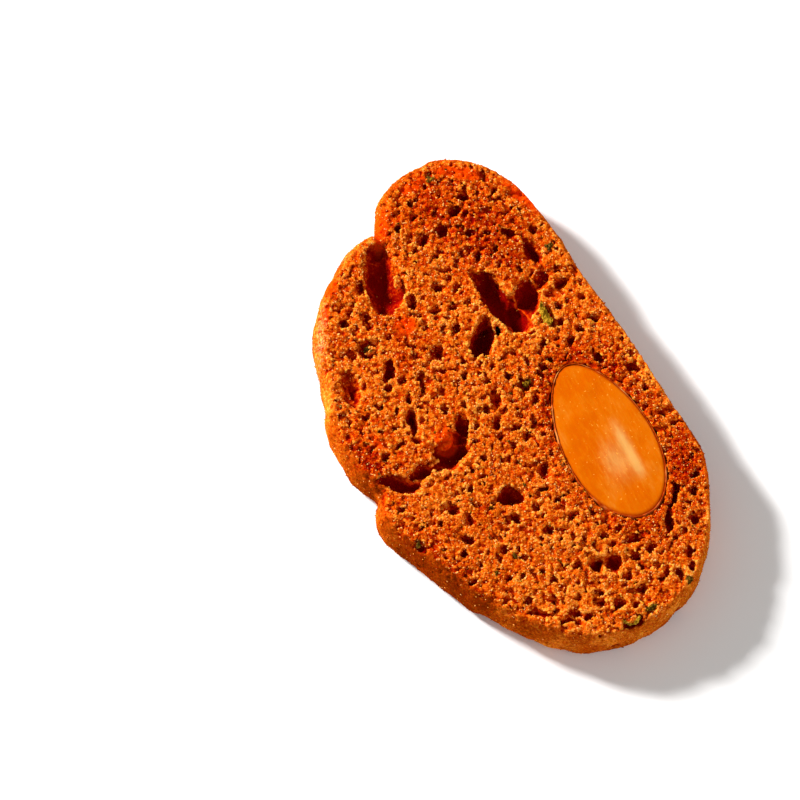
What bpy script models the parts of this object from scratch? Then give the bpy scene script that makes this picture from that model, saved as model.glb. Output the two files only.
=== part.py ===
# A thin slice of savoury biscuit with one almond in it, lying flat with its open crumb up.
# Metres, +Z up. X runs across the slice, Y along its longer side, origin under its middle.

import math
import random

import bmesh
import bpy
from mathutils import Matrix, Vector, noise

MM = 0.001

# The slice
THICKNESS = 6.2 * MM
SIDE_POINTS = 104
SIDE_BULGE = 0.75 * MM  # how far the rounded crust stands out past the cut face
BULGE_SWING = 0.5 * MM  # more than that on the left, less on the right
BULGE_LEAST_TOWARDS = math.radians(5)
CRUST_UNEVEN = 0.22 * MM
SIDE_PROFILE = ((0.0, 0.30), (0.16, 0.78), (0.42, 1.0), (0.68, 0.88), (0.88, 0.46), (1.0, 0.0))

# The edge of the cut face in millimetres, clockwise from the upper notch
FACE_EDGE = (
    (-15.1, 22.8), (-15.0, 24.8), (-13.2, 27.0), (-10.3, 29.0), (-7.6, 29.9), (-3.1, 29.0),
    (0.9, 26.3), (4.8, 21.3), (8.4, 15.4), (14.4, 6.4), (20.0, -2.8), (22.3, -6.8),
    (23.1, -11.5), (22.9, -17.1), (21.8, -20.9), (19.9, -24.3), (16.0, -27.7), (11.0, -29.6),
    (6.1, -29.3), (0.9, -27.4), (-2.0, -25.7), (-4.6, -24.3), (-9.1, -20.7), (-12.0, -18.2),
    (-14.2, -16.3), (-14.9, -14.4), (-14.4, -12.9), (-15.4, -11.2), (-17.4, -9.6), (-19.1, -7.0),
    (-20.5, -4.5), (-21.2, 0.5), (-22.2, 6.8), (-21.8, 11.4), (-20.1, 15.5), (-18.4, 18.3),
    (-16.4, 20.0), (-14.9, 19.8),
)

# The almond, a slice right through the kernel
ALMOND_CENTRE = (11.1 * MM, -5.6 * MM)
ALMOND_LENGTH = 20.6 * MM
ALMOND_WIDTH = 10.7 * MM
ALMOND_TURN = math.radians(117)
ALMOND_POINTS = 48
ALMOND_BULGE = 0.35 * MM
ALMOND_DISH = 0.15 * MM  # its face lies a little below the crumb
CLEARANCE = 0.3 * MM

# Pores that show from a step away: x, y, length, width, turn in degrees, depth, in millimetres
LARGE_PORES = (
    (-15.2, 14.2, 9.3, 4.2, -78, 2.9),
    (-16.0, 18.1, 2.6, 2.2, 40, 2.6),
    (-17.9, 13.6, 2.0, 1.2, 90, 1.4),
    (-1.6, 12.1, 8.8, 3.0, -54, 4.4),
    (1.9, 12.3, 4.4, 3.0, -75, 3.2),
    (0.4, 10.2, 5.2, 3.6, -58, 4.2),
    (-3.4, 7.2, 5.4, 2.7, -99, 4.2),
    (2.5, 18.3, 3.9, 1.3, -57, 2.6),
    (3.6, 14.7, 2.6, 1.6, 60, 1.4),
    (-7.4, -7.2, 5.2, 3.8, 37, 3.8),
    (-6.0, -3.8, 2.6, 1.8, -71, 2.6),
    (-6.3, -5.4, 2.8, 2.4, 60, 3.2),
    (-13.0, -11.2, 4.8, 2.2, -13, 2.6),
    (-10.2, -9.4, 4.4, 1.8, 32, 2.4),
    (-19.0, 0.5, 4.4, 1.9, -76, 1.8),
    (-14.5, 2.9, 2.8, 1.3, 90, 1.9),
    (-16.9, 5.8, 2.2, 2.3, 0, 1.7),
    (-11.7, -3.3, 3.0, 1.5, -81, 2.2),
    (-0.2, -12.6, 2.9, 2.5, -26, 2.8),
    (9.8, -21.1, 2.0, 1.9, 0, 2.2),
    (11.7, -20.8, 2.0, 2.0, 0, 2.3),
    (18.8, -12.4, 3.0, 1.4, 76, 2.6),
    (18.4, -15.3, 3.4, 1.0, 85, 1.8),
    (13.8, -28.0, 2.6, 1.4, 19, 1.6),
)
MEDIUM_PORES = (
    (-10.5, 19.6, 1.8, 1.8, 0), (-8.3, 20.8, 1.8, 1.4, 90), (-6.7, 23.2, 1.6, 1.5, 0),
    (-5.7, 25.2, 2.0, 1.0, 21), (-0.4, 20.5, 1.8, 1.2, -32), (-8.7, 5.4, 2.0, 1.9, 0),
    (-6.5, 8.4, 1.6, 1.2, 90), (-11.7, 11.7, 2.1, 1.5, 90), (-8.7, 13.6, 1.5, 1.5, 0),
    (-19.7, 9.0, 1.6, 1.2, 90), (-1.9, -0.4, 2.3, 1.4, -71), (-1.7, -3.5, 2.1, 1.2, -81),
    (6.0, 14.2, 1.9, 1.7, -32), (9.8, 9.7, 2.0, 1.1, -11), (8.1, 8.3, 1.8, 1.2, -21),
    (10.3, 4.8, 1.8, 1.2, -37), (14.2, 3.5, 2.2, 1.2, -21), (1.6, 1.3, 1.5, 1.3, 0),
    (3.9, -9.4, 2.1, 1.5, 71), (3.7, -11.8, 1.8, 0.8, 5), (-5.3, -18.0, 2.1, 1.3, -26),
    (-10.7, -19.1, 2.1, 1.3, -26), (-7.0, -14.3, 1.9, 2.0, 0), (0.4, -15.5, 1.8, 1.3, -52),
    (21.2, -12.1, 1.6, 1.3, 90), (21.3, -15.2, 1.2, 1.3, 0), (14.5, -20.2, 1.6, 1.3, 0),
    (3.2, -27.1, 2.4, 0.8, -5), (12.3, -25.9, 1.6, 1.2, 62), (15.1, -24.1, 1.8, 0.9, 32),
)
MEDIUM_DEPTH = 1.5 * MM
FACET_MAKE_UP = 1.12  # a faceted pebble is smaller than its ellipsoid by about this

# The one hole that goes right through, its upper end nearer the front
THROUGH_HOLE_AT = (-1.6 * MM, 9.2 * MM)
THROUGH_HOLE_SIZE = (0.8 * MM, 1.3 * MM)
THROUGH_HOLE_LEAN = math.radians(20)

# Fine pores, scattered by a rule over the upper face, the underside and the crust
FINE_PORES = 120
UNDERSIDE_PORES = 46
FINE_SPACING = 1.7 * MM
FINE_WIDTH = (0.6 * MM, 1.1 * MM)
UNDERSIDE_WIDTH = (0.8 * MM, 2.0 * MM)
CRUST_DENTS = 14
REST_CLEAR = 4.0 * MM  # no pore this near the spot it rests on, under its middle
EDGE_CLEAR = 1.3 * MM

# Crags on the edge and lumps of crumb: x, y, height of the centre, radius, in millimetres
CRAGS = (
    (-13.2, 25.9, 5.6, 0.8), (-11.4, 27.3, 5.7, 0.7), (-14.8, 21.2, 5.2, 0.8),
    (-8.2, -5.7, 4.6, 1.0), (-0.5, 14.2, 5.0, 0.9), (-15.8, -10.9, 5.2, 0.9),
    (-13.6, -13.9, 4.0, 1.3), (-12.6, -17.1, 4.6, 1.1), (-20.8, -2.4, 5.3, 0.7),
)
# Bits of herb baked into the crumb: x, y, length, width, turn
HERBS = (
    (4.1, 10.2, 2.4, 1.1, 105), (4.6, 18.5, 1.3, 0.8, 60), (-9.7, 27.3, 1.3, 0.8, 20),
    (13.7, -27.7, 1.8, 0.9, 15), (16.2, -26.2, 1.5, 0.6, 30), (-16.6, 5.6, 1.3, 0.9, 10),
    (20.4, -22.9, 1.2, 0.6, 80),
)


def remove_everything():
    for obj in list(bpy.data.objects):
        bpy.data.objects.remove(obj, do_unlink=True)


def new_collection(name):
    collection = bpy.data.collections.new(name)
    bpy.context.scene.collection.children.link(collection)
    return collection


def new_material(name, colour, roughness):
    material = bpy.data.materials.new(name)
    material.use_nodes = True
    shader = material.node_tree.nodes["Principled BSDF"]
    shader.inputs["Base Color"].default_value = (*colour, 1.0)
    shader.inputs["Roughness"].default_value = roughness
    shader.inputs["Metallic"].default_value = 0.0
    return material


def object_from(bm, name, collection, material=None):
    mesh = bpy.data.meshes.new(name)
    bm.to_mesh(mesh)
    bm.free()
    obj = bpy.data.objects.new(name, mesh)
    collection.objects.link(obj)
    if material:
        mesh.materials.append(material)
    return obj


def closed_curve(corners, count):
    """A smooth closed line through the corners, as evenly spaced points."""
    corners = [Vector((x, y, 0.0)) * MM for x, y in corners]
    fine = []
    for index, start in enumerate(corners):
        before = corners[index - 1]
        end = corners[(index + 1) % len(corners)]
        after = corners[(index + 2) % len(corners)]
        for step in range(16):
            t = step / 16
            fine.append(
                0.5 * (2 * start + (end - before) * t
                       + (2 * before - 5 * start + 4 * end - after) * t * t
                       + (3 * start - before - 3 * end + after) * t ** 3)
            )
    lengths = [(fine[(i + 1) % len(fine)] - p).length for i, p in enumerate(fine)]
    spacing = sum(lengths) / count
    points, walked, index = [], 0.0, 0
    for number in range(count):
        while walked + lengths[index] < number * spacing:
            walked += lengths[index]
            index += 1
        share = (number * spacing - walked) / lengths[index]
        points.append(fine[index].lerp(fine[(index + 1) % len(fine)], share))
    return points


def outward(points, index):
    """The direction out of a clockwise outline at one of its points."""
    along = points[(index + 1) % len(points)] - points[index - 1]
    return Vector((-along.y, along.x, 0.0)).normalized()


def offset_ring(points, distance_at, height):
    ring = []
    for index, point in enumerate(points):
        side = outward(points, index)
        ring.append(point + side * distance_at(point, side) + Vector((0, 0, height)))
    return ring


def loft(rings, name, collection, material=None):
    """A closed solid through rings of equal count, lowest first."""
    bm = bmesh.new()
    rows = [[bm.verts.new(point) for point in ring] for ring in rings]
    for low, high in zip(rows, rows[1:]):
        for index in range(len(low)):
            after = (index + 1) % len(low)
            bm.faces.new((low[index], low[after], high[after], high[index]))
    bm.faces.new(rows[0])
    bm.faces.new(rows[-1])
    bmesh.ops.recalc_face_normals(bm, faces=bm.faces)
    return object_from(bm, name, collection, material)


def pebble(name, collection, place, size, turn=0.0, lean=0.0, roundness=2, uneven=0.12):
    """An uneven ellipsoid: a pore's cutter, a lump of crumb or a bit of herb."""
    bm = bmesh.new()
    bmesh.ops.create_icosphere(bm, subdivisions=roundness, radius=0.5)
    shift = Vector((len(collection.objects) * 3.7, 0.0, 0.0))
    for vert in bm.verts:
        vert.co *= 1 + uneven * noise.noise(vert.co * 3.1 + shift)
    stretch = Matrix.Diagonal((*(side * FACET_MAKE_UP for side in size), 1.0))
    spin = Matrix.Rotation(turn, 4, "Z") @ Matrix.Rotation(lean, 4, "X")
    bmesh.ops.transform(bm, verts=bm.verts, matrix=Matrix.Translation(place) @ spin @ stretch)
    obj = object_from(bm, name, collection)
    obj.hide_render = True
    obj.display_type = "WIRE"
    return obj


def combine(obj, collection, operation):
    """Cuts the collection's objects from obj, or joins them to it, and removes them."""
    modifier = obj.modifiers.new(operation.title(), "BOOLEAN")
    modifier.operation = operation
    modifier.operand_type = "COLLECTION"
    modifier.collection = collection
    modifier.solver = "EXACT"
    modifier.use_self = True
    made = bpy.data.meshes.new_from_object(obj.evaluated_get(bpy.context.evaluated_depsgraph_get()))
    obj.modifiers.remove(modifier)
    obj.data = made
    for helper in list(collection.objects):
        bpy.data.objects.remove(helper, do_unlink=True)


def keep_largest_body(obj):
    """Drops scraps that the cuts left loose."""
    bm = bmesh.new()
    bm.from_mesh(obj.data)
    bmesh.ops.triangulate(bm, faces=bm.faces)
    unseen = set(bm.verts)
    bodies = []
    while unseen:
        body, edge = set(), [unseen.pop()]
        while edge:
            vert = edge.pop()
            body.add(vert)
            for link in vert.link_edges:
                other = link.other_vert(vert)
                if other in unseen:
                    unseen.remove(other)
                    edge.append(other)
        bodies.append(body)
    largest = max(bodies, key=len)
    loose = [vert for body in bodies if body is not largest for vert in body]
    bmesh.ops.delete(bm, geom=loose, context="VERTS")
    bm.to_mesh(obj.data)
    bm.free()


def almond_outline(grow=0.0):
    """The kernel's section: an oval a little blunter at its lower end."""
    points = []
    for index in range(ALMOND_POINTS):
        angle = -2 * math.pi * index / ALMOND_POINTS
        along = math.cos(angle)
        across = math.sin(angle) * (1 - 0.13 * along - 0.05 * along * along)
        length = (ALMOND_LENGTH / 2 + grow) * along
        width = (ALMOND_WIDTH / 2 + grow) * across
        spun = Matrix.Rotation(ALMOND_TURN, 3, "Z") @ Vector((length, width, 0.0))
        points.append(spun + Vector((*ALMOND_CENTRE, 0.0)))
    return points


def near_almond(x, y, gap):
    local = Matrix.Rotation(-ALMOND_TURN, 2) @ Vector((x - ALMOND_CENTRE[0], y - ALMOND_CENTRE[1]))
    return math.hypot(local.x / (ALMOND_LENGTH / 2 + gap), local.y / (ALMOND_WIDTH / 2 + gap)) < 1


def inside(points, x, y):
    crossings = 0
    for index, here in enumerate(points):
        last = points[index - 1]
        if (here.y > y) != (last.y > y):
            crossings += x < last.x + (y - last.y) * (here.x - last.x) / (here.y - last.y)
    return crossings % 2 == 1


def scatter(draw, outline, count, spacing, taken):
    """Places inside the outline, clear of the almond, the edge and each other."""
    places = []
    while len(places) < count:
        x = draw.uniform(-23, 23) * MM
        y = draw.uniform(-30, 30) * MM
        if not inside(outline, x, y) or near_almond(x, y, 1.2 * MM):
            continue
        if min((point.xy - Vector((x, y))).length for point in outline) < EDGE_CLEAR:
            continue
        if any(math.hypot(x - a, y - b) < max(spacing, reach) for a, b, reach in taken):
            continue
        places.append((x, y))
        taken.append((x, y, 0.0))
    return places


def bulge_at(point, side):
    towards = math.atan2(side.y, side.x)
    swing = math.cos(towards - BULGE_LEAST_TOWARDS)
    wave = noise.noise(Vector((point.x, point.y, 0.004)) / (4 * MM))
    return SIDE_BULGE - BULGE_SWING * swing + CRUST_UNEVEN * wave


def slice_body(outline, collection, material):
    rings = []
    for share, reach in SIDE_PROFILE:
        rings.append(
            offset_ring(outline, lambda point, side, r=reach: r * bulge_at(point, side), share * THICKNESS)
        )
    return loft(rings, "biscuit", collection, material)


def add_crags(biscuit, helpers):
    for x, y, height, radius in CRAGS:
        size = Vector((2.3, 2.0, 1.7)) * radius * MM
        pebble("crag", helpers, Vector((x, y, height)) * MM, size, turn=x, uneven=0.3)
    combine(biscuit, helpers, "UNION")


def add_herbs(biscuit, helpers):
    for x, y, length, width, turn in HERBS:
        place = Vector((x * MM, y * MM, THICKNESS - 0.7 * MM))
        size = (length * MM, width * MM, 1.6 * MM)
        pebble("herb", helpers, place, size, turn=math.radians(turn), roundness=1, uneven=0.25)
    combine(biscuit, helpers, "UNION")


def cut_pores(biscuit, outline, helpers, draw):
    taken = []
    for x, y, length, width, turn, depth in LARGE_PORES:
        size = (length * MM, width * MM, 2 * depth * MM)
        place = Vector((x * MM, y * MM, THICKNESS + 0.12 * depth * MM))
        pebble("large pore", helpers, place, size, turn=math.radians(turn), uneven=0.3)
        taken.append((x * MM, y * MM, 0.45 * length * MM + 0.6 * MM))
    for x, y, length, width, turn in MEDIUM_PORES:
        size = (length * MM, width * MM, 2 * MEDIUM_DEPTH)
        place = Vector((x * MM, y * MM, THICKNESS))
        pebble("medium pore", helpers, place, size, turn=math.radians(turn), roundness=1, uneven=0.2)
        taken.append((x * MM, y * MM, 0.4 * length * MM + 0.7 * MM))
    for x, y in scatter(draw, outline, FINE_PORES, FINE_SPACING, taken):
        width = draw.uniform(*FINE_WIDTH)
        size = (width * draw.uniform(1.0, 1.5), width, width * 2.0)
        place = Vector((x, y, THICKNESS - 0.15 * width))
        pebble("fine pore", helpers, place, size, turn=draw.uniform(0, 3), roundness=1, uneven=0.2)
    cut_underside(outline, helpers, draw)
    cut_crust(outline, helpers, draw)
    lean = Matrix.Rotation(THROUGH_HOLE_LEAN, 4, "X")
    hole = pebble("through hole", helpers, Vector(), (*THROUGH_HOLE_SIZE, 2.2 * THICKNESS), uneven=0.05)
    hole.matrix_world = Matrix.Translation((*THROUGH_HOLE_AT, THICKNESS / 2)) @ lean
    combine(biscuit, helpers, "DIFFERENCE")


def cut_underside(outline, helpers, draw):
    for x, y in scatter(draw, outline, UNDERSIDE_PORES, 2 * FINE_SPACING, [(0.0, 0.0, REST_CLEAR)]):
        width = draw.uniform(*UNDERSIDE_WIDTH)
        size = (width * draw.uniform(1.0, 1.7), width, width * 1.4)
        pebble("underside pore", helpers, Vector((x, y, 0.0)), size, turn=draw.uniform(0, 3), roundness=1)


def cut_crust(outline, helpers, draw):
    for number in range(CRUST_DENTS):
        index = int((number + draw.uniform(0.2, 0.8)) * len(outline) / CRUST_DENTS)
        side = outward(outline, index)
        place = outline[index] + side * (bulge_at(outline[index], side) + 0.15 * MM)
        place.z = THICKNESS * draw.uniform(0.3, 0.6)
        width = draw.uniform(0.9, 1.5) * MM
        pebble("crust dent", helpers, place, (width, width, 0.8 * width), roundness=1)


def almond(collection, material):
    rings = []
    for share, bulge in ((0.0, -0.1), (0.2, 0.6), (0.5, 1.0), (0.8, 0.7), (1.0, 0.0)):
        height = share * (THICKNESS - ALMOND_DISH)
        rings.append(offset_ring(almond_outline(), lambda point, side, b=bulge: b * ALMOND_BULGE, height))
    return loft(rings, "almond", collection, material)


def almond_seat(biscuit, helpers):
    """The hollow in the crumb, as wide as the kernel at its widest and the gap round it."""
    rings = []
    for height in (-MM, THICKNESS + MM):
        wide = CLEARANCE + ALMOND_BULGE
        rings.append(offset_ring(almond_outline(), lambda point, side: wide, height))
    seat = loft(rings, "almond seat", helpers)
    seat.hide_render = True
    seat.display_type = "WIRE"
    combine(biscuit, helpers, "DIFFERENCE")


def build():
    remove_everything()
    parts = new_collection("savoury_biscuit")
    helpers = new_collection("helpers")
    helpers.hide_render = True
    crumb = new_material("baked_crumb", (0.50, 0.075, 0.006), 0.85)
    kernel = new_material("almond_kernel", (0.86, 0.18, 0.004), 0.5)
    outline = closed_curve(FACE_EDGE, SIDE_POINTS)
    biscuit = slice_body(outline, parts, crumb)
    add_crags(biscuit, helpers)
    almond_seat(biscuit, helpers)
    cut_pores(biscuit, outline, helpers, random.Random(11))
    add_herbs(biscuit, helpers)
    keep_largest_body(biscuit)
    almond(parts, kernel).data.shade_smooth()


build()
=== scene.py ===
import math

import bpy
import numpy as np
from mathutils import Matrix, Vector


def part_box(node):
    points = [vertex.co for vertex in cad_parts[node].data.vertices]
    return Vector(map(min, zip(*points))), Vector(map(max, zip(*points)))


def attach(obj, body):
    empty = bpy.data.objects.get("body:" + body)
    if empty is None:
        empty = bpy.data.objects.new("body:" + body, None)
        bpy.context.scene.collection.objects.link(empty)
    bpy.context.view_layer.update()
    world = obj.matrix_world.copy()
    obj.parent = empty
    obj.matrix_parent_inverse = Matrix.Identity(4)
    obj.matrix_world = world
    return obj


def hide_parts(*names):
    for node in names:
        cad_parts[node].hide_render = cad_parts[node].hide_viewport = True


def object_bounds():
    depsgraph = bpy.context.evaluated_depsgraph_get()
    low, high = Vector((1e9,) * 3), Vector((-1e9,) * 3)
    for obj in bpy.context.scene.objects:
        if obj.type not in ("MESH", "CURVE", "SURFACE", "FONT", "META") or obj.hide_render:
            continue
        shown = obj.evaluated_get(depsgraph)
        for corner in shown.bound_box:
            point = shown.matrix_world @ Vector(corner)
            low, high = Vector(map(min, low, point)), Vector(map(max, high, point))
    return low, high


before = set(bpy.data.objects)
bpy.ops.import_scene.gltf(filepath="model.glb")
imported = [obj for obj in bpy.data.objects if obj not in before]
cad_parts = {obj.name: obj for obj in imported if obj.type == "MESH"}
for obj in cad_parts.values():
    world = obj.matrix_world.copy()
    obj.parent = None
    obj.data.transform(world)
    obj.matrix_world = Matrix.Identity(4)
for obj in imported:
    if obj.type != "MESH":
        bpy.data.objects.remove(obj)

import openvdb
from mathutils import Vector, noise

# Lengths in the dictionaries below are millimetres on the slice; the frame itself is in metres
mm = 0.001
cadLow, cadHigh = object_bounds()
sliceTop = 6.2  # height of the cut face
print("frame loaded, box", [round(v / mm, 1) for v in (*cadLow, *cadHigh)])


# Camera, light and floor

view = {
    "elevation": 70.0,
    "lens": 260.0,
    "frameWidth": 94.4,  # what the picture takes in, at the cut face
    "aim": (-13.2, -0.75),
    "floorSize": 3.0,
    "floorColour": (0.96, 0.955, 0.95),
    "keyFrom": (-0.74, 0.46, 0.49),
    "keyDistance": 0.9,
    "keySize": 0.14,
    "keyPower": 17.6,
    "fillFrom": (0.80, -0.55, 0.6),
    "fillSize": 0.9,
    "fillPower": 2.8,
    "sky": 0.33,
}


def areaLight(name, direction, size, power):
    light = bpy.data.lights.new(name, "AREA")
    light.size = size
    light.energy = power
    lamp = bpy.data.objects.new(name, light)
    bpy.context.scene.collection.objects.link(lamp)
    away = Vector(direction).normalized()
    lamp.location = away * view["keyDistance"]
    lamp.rotation_euler = (-away).to_track_quat("-Z", "Y").to_euler()


def setStage():
    scene = bpy.context.scene
    scene.view_settings.view_transform = "Standard"
    cam = bpy.data.cameras.new("camera")
    cam.lens = view["lens"]
    cam.sensor_width = 36.0
    camera = bpy.data.objects.new("camera", cam)
    scene.collection.objects.link(camera)
    tilt = math.radians(view["elevation"])
    back = Vector((0.0, -math.cos(tilt), math.sin(tilt)))
    aim = Vector((*view["aim"], sliceTop)) * mm
    distance = view["frameWidth"] * mm * view["lens"] / cam.sensor_width
    camera.location = aim + back * distance
    camera.rotation_euler = (-back).to_track_quat("-Z", "Y").to_euler()
    cam.clip_start = 0.01
    cam.clip_end = 20.0
    scene.camera = camera

    areaLight("key light", view["keyFrom"], view["keySize"], view["keyPower"])
    areaLight("fill light", view["fillFrom"], view["fillSize"], view["fillPower"])
    world = bpy.data.worlds.new("soft studio")
    world.use_nodes = True
    sky = world.node_tree.nodes["Background"]
    sky.inputs["Color"].default_value = (1.0, 0.98, 0.95, 1.0)
    sky.inputs["Strength"].default_value = view["sky"]
    scene.world = world

    bpy.ops.mesh.primitive_plane_add(size=view["floorSize"])
    floor = bpy.context.object
    floor.name = "floor"
    paint = bpy.data.materials.new("pale floor")
    paint.use_nodes = True
    shader = paint.node_tree.nodes["Principled BSDF"]
    shader.inputs["Base Color"].default_value = (*view["floorColour"], 1.0)
    shader.inputs["Roughness"].default_value = 0.9
    floor.data.materials.append(paint)
    print("camera, lights and floor set")


# Node helpers for the materials

class NodeSheet:
    def __init__(self, name):
        self.material = bpy.data.materials.new(name)
        self.material.use_nodes = True
        self.nodes = self.material.node_tree.nodes
        self.links = self.material.node_tree.links
        self.shader = self.nodes["Principled BSDF"]
        self.across = -2200

    def add(self, kind, **settings):
        node = self.nodes.new(kind)
        node.location = (self.across, 300)
        self.across += 70
        for key, value in settings.items():
            setattr(node, key, value)
        return node

    def link(self, source, target):
        self.links.new(source, target)

    def attribute(self, name):
        return self.add("ShaderNodeAttribute", attribute_name=name).outputs["Fac"]

    # lumps about size millimetres across
    def noise(self, size, detail=3.0, roughness=0.6, stretch=(1.0, 1.0, 1.0), turn=0.0):
        place = self.add("ShaderNodeTexCoord")
        shift = self.add("ShaderNodeMapping", vector_type="TEXTURE")
        shift.inputs["Rotation"].default_value = (0.0, 0.0, turn)
        shift.inputs["Scale"].default_value = stretch
        node = self.add("ShaderNodeTexNoise")
        node.inputs["Scale"].default_value = 1.0 / (size * mm)
        node.inputs["Detail"].default_value = detail
        node.inputs["Roughness"].default_value = roughness
        self.link(place.outputs["Object"], shift.inputs["Vector"])
        self.link(shift.outputs["Vector"], node.inputs["Vector"])
        return node.outputs["Fac"]

    def ramp(self, source, low, high, toLow=0.0, toHigh=1.0):
        node = self.add("ShaderNodeMapRange", clamp=True, interpolation_type="SMOOTHSTEP")
        node.inputs["From Min"].default_value = low
        node.inputs["From Max"].default_value = high
        node.inputs["To Min"].default_value = toLow
        node.inputs["To Max"].default_value = toHigh
        self.link(source, node.inputs["Value"])
        return node.outputs["Result"]

    # first colour where share is 0, second where it is 1
    def mix(self, share, first, second):
        node = self.add("ShaderNodeMix", data_type="RGBA", clamp_factor=True)
        self.link(share, node.inputs[0])
        for socket, colour in ((node.inputs[6], first), (node.inputs[7], second)):
            if isinstance(colour, tuple):
                socket.default_value = (*colour, 1.0)
            else:
                self.link(colour, socket)
        return node.outputs[2]

    # a constant plus sources times factors
    def total(self, constant, *terms):
        running = None
        for source, factor in terms:
            node = self.add("ShaderNodeMath", operation="MULTIPLY_ADD")
            self.link(source, node.inputs[0])
            node.inputs[1].default_value = factor
            if running is None:
                node.inputs[2].default_value = constant
            else:
                self.link(running, node.inputs[2])
            running = node.outputs[0]
        return running

    # a row of colours at the given places
    def shades(self, source, stops):
        node = self.add("ShaderNodeValToRGB")
        row = node.color_ramp.elements
        while len(row) < len(stops):
            row.new(0.5)
        for element, (place, colour) in zip(row, stops):
            element.position = place
            element.color = (*colour, 1.0)
        self.link(source, node.inputs["Fac"])
        return node.outputs["Color"]

    def bump(self, source, height, strength=1.0):
        node = self.add("ShaderNodeBump")
        node.inputs["Strength"].default_value = strength
        node.inputs["Distance"].default_value = height * mm
        self.link(source, node.inputs["Height"])
        return node.outputs["Normal"]

    # light that spreads inside, each colour its own depth in millimetres
    def glow(self, weight, depths):
        sockets = self.shader.inputs
        sockets["Subsurface Weight"].default_value = weight
        sockets["Subsurface Radius"].default_value = depths
        sockets["Subsurface Scale"].default_value = mm

    def finish(self, colour, roughness, specular, normal=None):
        sockets = self.shader.inputs
        self.link(colour, sockets["Base Color"])
        sockets["Roughness"].default_value = roughness
        sockets["Specular IOR Level"].default_value = specular
        if normal is not None:
            self.link(normal, sockets["Normal"])
        return self.material


# Mesh helpers

def meshArrays(mesh):
    mesh.calc_loop_triangles()
    points = np.empty(len(mesh.vertices) * 3, np.float32)
    mesh.vertices.foreach_get("co", points)
    corners = np.empty(len(mesh.loop_triangles) * 3, np.int32)
    mesh.loop_triangles.foreach_get("vertices", corners)
    return points.reshape(-1, 3), corners.reshape(-1, 3)


def newPiece(name, points, faces, material=None, attributes=None):
    mesh = bpy.data.meshes.new(name)
    mesh.vertices.add(len(points))
    mesh.vertices.foreach_set("co", (np.asarray(points) * mm).astype(np.float32).ravel())
    sides = faces.shape[1]
    mesh.loops.add(faces.size)
    mesh.loops.foreach_set("vertex_index", np.ascontiguousarray(faces, np.int32).ravel())
    mesh.polygons.add(len(faces))
    mesh.polygons.foreach_set("loop_start", np.arange(0, faces.size, sides, dtype=np.int32))
    mesh.update(calc_edges=True)
    for key, values in (attributes or {}).items():
        setAttribute(mesh, key, values)
    mesh.shade_smooth()
    if material:
        mesh.materials.append(material)
    piece = bpy.data.objects.new(name, mesh)
    bpy.context.scene.collection.objects.link(piece)
    return piece


def setAttribute(mesh, name, values):
    attribute = mesh.attributes.new(name, "FLOAT", "POINT")
    attribute.data.foreach_set("value", np.ascontiguousarray(values, np.float32))


def finishPiece(piece, slotName, *nodes):
    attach(piece, "root")
    if nodes:
        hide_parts(*nodes)
    print(piece.name, "has", len(piece.data.polygons), "faces")


# Fields on a grid: the crumb is worked as distances and then turned back into a surface

def latticeNoise(shape, cells, seed):
    draw = np.random.default_rng(seed)
    coarse = draw.uniform(-1, 1, [int(n / cells) + 3 for n in shape]).astype(np.float32)
    for axis, count in enumerate(shape):
        place = np.arange(count) / cells
        low = place.astype(int)
        share = place - low
        share = (share * share * (3 - 2 * share)).astype(np.float32)
        share = share.reshape([-1 if a == axis else 1 for a in range(len(shape))])
        coarse = np.take(coarse, low, axis) * (1 - share) + np.take(coarse, low + 1, axis) * share
    return coarse


def blurred(field, passes, axes=(0, 1, 2)):
    for _ in range(passes):
        for axis in axes:
            padded = np.moveaxis(field, axis, 0)
            padded = np.concatenate([padded[:1], padded, padded[-1:]])
            softened = 0.25 * padded[:-2] + 0.5 * padded[1:-1] + 0.25 * padded[2:]
            field = np.moveaxis(softened, 0, axis)
    return np.ascontiguousarray(field)


# the field at places given in cells
def sample(field, places):
    low = np.clip(np.floor(places).astype(int), 0, np.array(field.shape) - 2)
    share = np.clip(places - low, 0, 1).astype(np.float32)
    total = np.zeros(len(places), np.float32)
    for corner in np.ndindex(*(2,) * field.ndim):
        weight = np.prod(np.where(corner, share, 1 - share), axis=1)
        total += weight * field[tuple((low + corner).T)]
    return total


def spinMatrices(turn, lean):
    c, s, cl, sl = np.cos(turn), np.sin(turn), np.cos(lean), np.sin(lean)
    nil = np.zeros_like(c)
    return np.stack([
        np.stack([c, s, nil], -1),
        np.stack([-s * cl, c * cl, sl], -1),
        np.stack([s * sl, -c * sl, cl], -1),
    ], -2)


# one ellipsoid cut out of the crumb, or joined to it
def stampBlob(field, low, cell, centre, size, spin, cut=True):
    middle = (np.asarray(centre) - low) / cell
    reach = np.asarray(size) / 2
    wide = reach.max() / cell
    start = np.maximum((middle - wide - 1).astype(int), 0)
    stop = np.minimum((middle + wide + 2).astype(int), field.shape)
    if (start >= stop).any():
        return
    window = tuple(slice(a, b) for a, b in zip(start, stop))
    x, y, z = np.ix_(*[(np.arange(a, b) - c) * cell for a, b, c in zip(start, stop, middle)])
    away = sum(((row[0] * x + row[1] * y + row[2] * z) / r) ** 2 for row, r in zip(spin, reach))
    depth = ((np.sqrt(away) - 1) * reach.min()).astype(np.float32)
    if cut:
        np.maximum(field[window], -depth, out=field[window])
    else:
        np.minimum(field[window], depth, out=field[window])


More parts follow.
